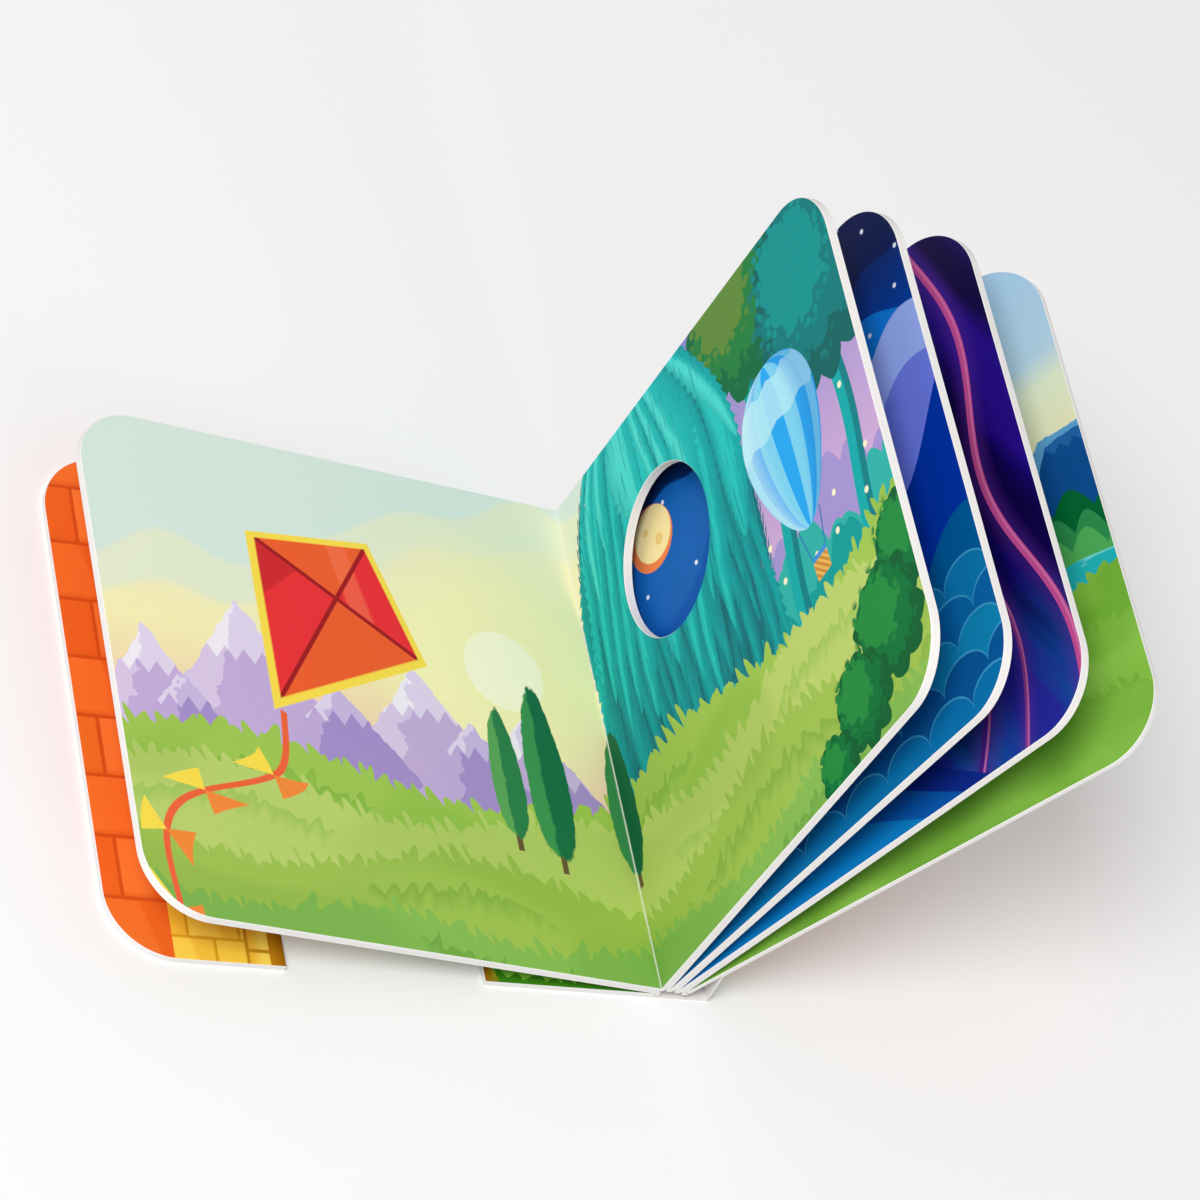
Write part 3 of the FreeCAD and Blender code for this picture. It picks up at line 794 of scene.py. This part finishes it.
def cover_spread(page):
    picture = fade(page.v + page.wave(3.0, 90.0), (0.55, "#F3EFC6"), (0.7, "#D8EDE6"), (1.0, "#8CCBE8"))
    for base, pitch, seed in ((122.0, 7.0, 95.0), (137.0, 5.0, 96.0)):
        puff = (Ink.calc("PINGPONG", page.u + seed, pitch) / pitch * 1.5).sine() * 4.0
        bulk = (speckle(page.at, 42.0, seed, (1.0, 0.0, 1.0), 0.0) - 0.5) * 60.0
        cloud = edge(base + puff + bulk - page.v) * edge(page.v - base - page.wave(0.8, 29.0), 1.5)
        picture = over(picture, "#F4FAFA", cloud * 0.9)
    for level, pitch, colour in (
        (112.0, 11.0, "#4FA858"), (106.0, 8.0, "#2F8F4C"), (101.0, 6.5, "#177A42"),
    ):
        lobe = Ink.calc("PINGPONG", page.u + level, pitch) / pitch
        hedge = level + (lobe * 1.5).sine() * 5.0 + page.wave(2.0, 61.0, level)
        picture = over(picture, colour, edge(hedge - page.v))
    dabs = page.dots(0.28)
    leaves = edge(0.34 - dabs, 0.03) * page.band(90.0, 103.0, 8.0)
    picture = over(picture, "#3A9C46", leaves)
    wall = brick_wall(page, GATE_MIDDLE / MM)
    picture = over(picture, wall, edge(WALL_TOP - page.v))
    coping, chance, _, up = courses(page, page.u, page.v - WALL_TOP, *COPING, 23.0)
    stone = over(swatch("#F6C641"), "#EFB632", chance)
    stone = over(stone, "#DFA329", edge(2.0 - up, 1.0) * 0.6)
    picture = over(picture, over(stone, "#CE9A1E", coping), page.band(WALL_TOP, 97.0))
    return grass_foot(page, picture, 12.0, 91.0)


prints = {
    "gate": printed("gate_print", gate_spread),
    "meadow_left": printed("meadow_left_print", meadow_left),
    "meadow_right": printed("meadow_right_print", meadow_right),
    "night": printed("night_print", night_spread),
    "ribbon": printed("ribbon_print", ribbon_spread),
    "lake": printed("lake_print", lake_spread),
    "cover": printed("cover_print", cover_spread),
}

# Leaves: two half boards glued back to back, cut together so their edges are flush. The second
# leaf has a round window cut through both halves, whose wall shows the bare core.
WINDOW_RADIUS = 23.5 * MM
WINDOW_MIDDLE = (48.3 * MM, 106.0 * MM)
LEAF_RIMS = (
    (EASE, 0.0),
    (0.0, EASE),
    (0.0, LEAF_THICKNESS / 2 - GLUE_GROOVE),
    (GLUE_GROOVE, LEAF_THICKNESS / 2),
    (0.0, LEAF_THICKNESS / 2 + GLUE_GROOVE),
    (0.0, LEAF_THICKNESS - EASE),
    (EASE, LEAF_THICKNESS),
)
LEFT_PAGES = ("gate", "meadow_left", "night", "ribbon", "lake")
RIGHT_PAGES = ("gate", "meadow_right", "night", "ribbon", "lake")
window = arc(WINDOW_MIDDLE, WINDOW_RADIUS, 360, 0, 96)[:-1]
for number in (1, 2, 3, 4):
    outlines = [page_outline()] + ([window] if number == 2 else [])
    faces = (prints[LEFT_PAGES[number]], prints[RIGHT_PAGES[number - 1]])
    leaf = board(f"leaf_{number}", outlines, LEAF_RIMS, creases[number], leaf_angles[number],
                 faces, leaf_edge)
    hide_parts("pages")
    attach(leaf, "pages")

# Covers: one printed half board as the lining, with the wrap's card glued to its outer face. The
# front one has the gateway cut through both. At the back the card stops short of the gutter.
UNGLUED_WIDTH = 11.0 * MM
LINING_RIMS_UNDER = ((EASE, 0.0), (0.0, EASE), (0.0, LINING_THICKNESS))
LINING_RIMS_OVER = ((0.0, 0.0), (0.0, LINING_THICKNESS - EASE), (EASE, LINING_THICKNESS))
CARD_EASE = 0.08 * MM
CARD_RIMS_OVER = ((0.0, 0.0), (0.0, CARD_THICKNESS - CARD_EASE), (CARD_EASE, CARD_THICKNESS))
CARD_RIMS_UNDER = ((CARD_EASE, 0.0), (0.0, CARD_EASE), (0.0, CARD_THICKNESS))

gate_notch = arc((GATE_MIDDLE, GATE_WALL), GATE_WIDTH / 2, 180, 0, 40)
gate_notch = [(GATE_MIDDLE - GATE_WIDTH / 2, 0.0), *gate_notch, (GATE_MIDDLE + GATE_WIDTH / 2, 0.0)]
front_outline = page_outline(HINGE_CLEARANCE, gate_notch)
front_lining = board("front_lining", [front_outline], LINING_RIMS_UNDER, creases[0], FRONT_ANGLE,
                     (prints["gate"], card_inside), lining_edge)
card_place = creases[0] + along(FRONT_ANGLE + 90) * LINING_THICKNESS
front_panel = board("front_panel", [front_outline], CARD_RIMS_OVER, card_place, FRONT_ANGLE,
                    (card_inside, prints["cover"]), card_inside)

back_outer = creases[4] + along(BACK_ANGLE - 90) * COVER_THICKNESS
back_lining_place = creases[4] + along(BACK_ANGLE - 90) * LINING_THICKNESS
back_lining = board("back_lining", [page_outline(HINGE_CLEARANCE)], LINING_RIMS_OVER, back_lining_place,
                    BACK_ANGLE, (card_inside, prints["lake"]), lining_edge)
back_panel = board("back_panel", [page_outline(UNGLUED_WIDTH)], CARD_RIMS_UNDER, back_outer, BACK_ANGLE,
                   (prints["cover"], card_inside), card_inside, offset=SPINE_WIDTH)
for piece, node, body_slot in (
    (front_lining, "front_cover", "front_board"),
    (front_panel, "front_cover", "front_board"),
    (back_lining, "back_cover", "back_board"),
    (back_panel, "back_cover", "back_board"),
):
    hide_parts(node)
    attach(piece, node)


# Folds: the rounded back of each crease, where the score has pressed the board a little flatter
# than its half leaf. The first and last are left unattached, though the covers swing about their creases.
FOLD_RADIUS = LEAF_THICKNESS / 2 - 0.15 * MM
FOLD_STEPS = 14


def prism(name, outline, material):
    """An outline in the book's end view, drawn out along the gutter from tail to head."""
    mesh = bpy.data.meshes.new(name)
    mesh.materials.append(material)
    shape = bmesh.new()
    page_map = shape.loops.layers.uv.new("page")
    tail = [shape.verts.new((x, TAIL, z)) for x, z in outline]
    head = [shape.verts.new((x, TAIL + PAGE_HEIGHT, z)) for x, z in outline]
    for step in range(len(outline)):
        after = (step + 1) % len(outline)
        shape.faces.new((tail[step], tail[after], head[after], head[step]))
    shape.faces.new(tail)
    shape.faces.new(head)
    bmesh.ops.recalc_face_normals(shape, faces=shape.faces)
    for face in shape.faces:
        for loop in face.loops:
            loop[page_map].uv = (loop.vert.co.y / MM, (loop.vert.co.x + loop.vert.co.z) / MM)
    shape.to_mesh(mesh)
    shape.free()
    mesh.shade_smooth()
    mesh.set_sharp_from_angle(angle=math.radians(30))
    piece = bpy.data.objects.new(name, mesh)
    scene.collection.objects.link(piece)
    return piece


def flat(point):
    return (point.x, point.z)


def fold_back(number, first, last):
    """A fold's back round its crease, from one board's end face to the next, clockwise."""
    name = ("front_fold", "fold_1", "fold_2", "fold_3", "back_fold")[number]
    centre = creases[number]
    outline = [flat(centre)] + arc(flat(centre), FOLD_RADIUS, first, last, FOLD_STEPS)
    return prism(name, outline, lining_edge)


for number in (1, 2, 3):
    fold = fold_back(number, leaf_angles[number] + 90, leaf_angles[number + 1] + 270)
    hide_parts("pages")
    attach(fold, "pages")

front_fold = fold_back(0, leaf_angles[1] - 90, -90)
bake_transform(front_fold)
back_fold = fold_back(4, leaf_angles[4] + 90, BACK_ANGLE + 270)
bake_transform(back_fold)

# Spine: the wrap's card between the covers, printed outside and bare white inside. It lies flat
# behind the folds, turns up at a score and reaches the back cover where the glue starts, so it
# leaves a hollow. It is drawn in two halves of one sheet.
CARD_STEP = 0.6 * MM
PANEL_SPLIT = 8.0 * MM
SCORE_STEPS = 6


def card(name, path, start_length):
    """A strip of card along a path of its outer face, its print running on from a length."""
    mesh = bpy.data.meshes.new(name)
    mesh.materials.append(prints["cover"])
    mesh.materials.append(card_inside)
    shape = bmesh.new()
    page_map = shape.loops.layers.uv.new("page")
    inner = []
    for step, point in enumerate(path):
        before = path[max(step - 1, 0)]
        after = path[min(step + 1, len(path) - 1)]
        run = (after - before).normalized()
        inner.append(point + Vector((-run.z, 0, run.x)) * CARD_THICKNESS)
    lengths = [start_length]
    for here, there in zip(path, path[1:]):
        lengths.append(lengths[-1] + (there - here).length)
    rows = {}
    for side, line in ((0, path), (1, inner)):
        for end, y in ((0, TAIL), (1, TAIL + PAGE_HEIGHT)):
            rows[side, end] = [shape.verts.new((point.x, y, point.z)) for point in line]

    def skin(corners, places, index):
        face = shape.faces.new(corners)
        face.material_index = index
        for loop in face.loops:
            step, end = places[corners.index(loop.vert)]
            loop[page_map].uv = (-lengths[step] / MM, end * PAGE_HEIGHT / MM)

    for step in range(len(path) - 1):
        quads = (((0, 0), (0, 1), 0), ((1, 0), (1, 1), 1), ((0, 0), (1, 0), 1), ((0, 1), (1, 1), 1))
        for first, second, index in quads:
            corners = [rows[first][step], rows[first][step + 1], rows[second][step + 1], rows[second][step]]
            places = [(step, first[1]), (step + 1, first[1]), (step + 1, second[1]), (step, second[1])]
            skin(corners, places, index)
    for step in (0, len(path) - 1):
        corners = [rows[0, 0][step], rows[1, 0][step], rows[1, 1][step], rows[0, 1][step]]
        skin(corners, [(step, 0), (step, 0), (step, 1), (step, 1)], 1)
    bmesh.ops.recalc_face_normals(shape, faces=shape.faces)
    shape.to_mesh(mesh)
    shape.free()
    mesh.shade_smooth()
    mesh.set_sharp_from_angle(angle=math.radians(40))
    piece = bpy.data.objects.new(name, mesh)
    scene.collection.objects.link(piece)
    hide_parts("spine")
    return piece


def straight(first, last):
    """Points from one place to another, a card step apart."""
    count = max(2, round((last - first).length / CARD_STEP))
    return [first.lerp(last, step / count) for step in range(count + 1)]


table = Vector((creases[0].x, TAIL, 0))
across = Vector((1, 0, 0))
wrap_start = table - across * HINGE_CLEARANCE
wrap_split = table + across * PANEL_SPLIT
fold_inner = table + across * (SPINE_WIDTH - CARD_THICKNESS) + Vector((0, 0, CARD_THICKNESS))
glue_line = creases[4] + along(BACK_ANGLE) * UNGLUED_WIDTH + along(BACK_ANGLE - 90) * LINING_THICKNESS
rise = glue_line - fold_inner
strip_angle = math.degrees(math.atan2(rise.z, rise.x))
fold_points = [fold_inner + along(turn) * CARD_THICKNESS
               for turn in [-90 + strip_angle * step / SCORE_STEPS for step in range(SCORE_STEPS + 1)]]
strip_end = glue_line + along(strip_angle - 90) * CARD_THICKNESS

wrap_front = card("wrap_front_half", straight(wrap_start, wrap_split), -HINGE_CLEARANCE)
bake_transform(wrap_front)
back_path = straight(wrap_split, fold_points[0])[:-1] + fold_points
back_path += straight(fold_points[-1], strip_end)[1:]
wrap_back = card("wrap_back_half", back_path, PANEL_SPLIT)
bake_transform(wrap_back)

# Studio: a plain pale floor, a broad soft lamp high on the left, a weak one before the book, and an
# even white surround. The floor is lifted a little for the eye, and still takes the book's shadow.
FLOOR_SIZE = 6.0
FLOOR_GREY = 0.79
FLOOR_GLOW = 0.13
SURROUND = 0.43
BOOK_MIDDLE = (0, 0, 0.05)
floor_shape = bmesh.new()
corners = [(-1, -1), (1, -1), (1, 1), (-1, 1)]
floor_shape.faces.new([floor_shape.verts.new((x * FLOOR_SIZE, y * FLOOR_SIZE, 0)) for x, y in corners])
floor_mesh = bpy.data.meshes.new("floor")
floor_shape.to_mesh(floor_mesh)
floor_shape.free()
floor = bpy.data.objects.new("floor", floor_mesh)
floor_material = bpy.data.materials.new("floor_paper")
floor_material.use_nodes = True
Ink.tree = floor_material.node_tree
floor_shader = Ink.tree.nodes["Principled BSDF"]
floor_shader.inputs["Base Color"].default_value = (FLOOR_GREY, FLOOR_GREY, FLOOR_GREY, 1)
floor_shader.inputs["Roughness"].default_value = 0.9
floor_shader.inputs["Emission Strength"].default_value = FLOOR_GLOW
seen = Ink.node("LightPath", None, None, "Is Camera Ray") + Ink.node("LightPath", None, None, "Is Glossy Ray")
seen = (seen + Ink.node("LightPath", None, None, "Is Transmission Ray")).at_most(1)
glow = over(swatch("#000000"), "#FFFFFF", seen)
Ink.tree.links.new(glow.socket, floor_shader.inputs["Emission Color"])
floor_mesh.materials.append(floor_material)
scene.collection.objects.link(floor)

world = bpy.data.worlds.new("surround")
world.use_nodes = True
world.node_tree.nodes["Background"].inputs["Color"].default_value = (1, 1, 1, 1)
world.node_tree.nodes["Background"].inputs["Strength"].default_value = SURROUND
scene.world = world


def lamp(name, place, size, power):
    """A round soft lamp turned to the middle of the book."""
    data = bpy.data.lights.new(name, "AREA")
    data.shape = "DISK"
    data.size = size
    data.energy = power
    item = bpy.data.objects.new(name, data)
    item.location = place
    item.rotation_euler = (Vector(BOOK_MIDDLE) - Vector(place)).to_track_quat("-Z", "Y").to_euler()
    scene.collection.objects.link(item)


lamp("key", (-1.8, -1.0, 2.5), 1.4, 75.0)
lamp("fill", (0.5, -2.4, 1.3), 1.6, 8.0)

scene.view_settings.view_transform = "Standard"
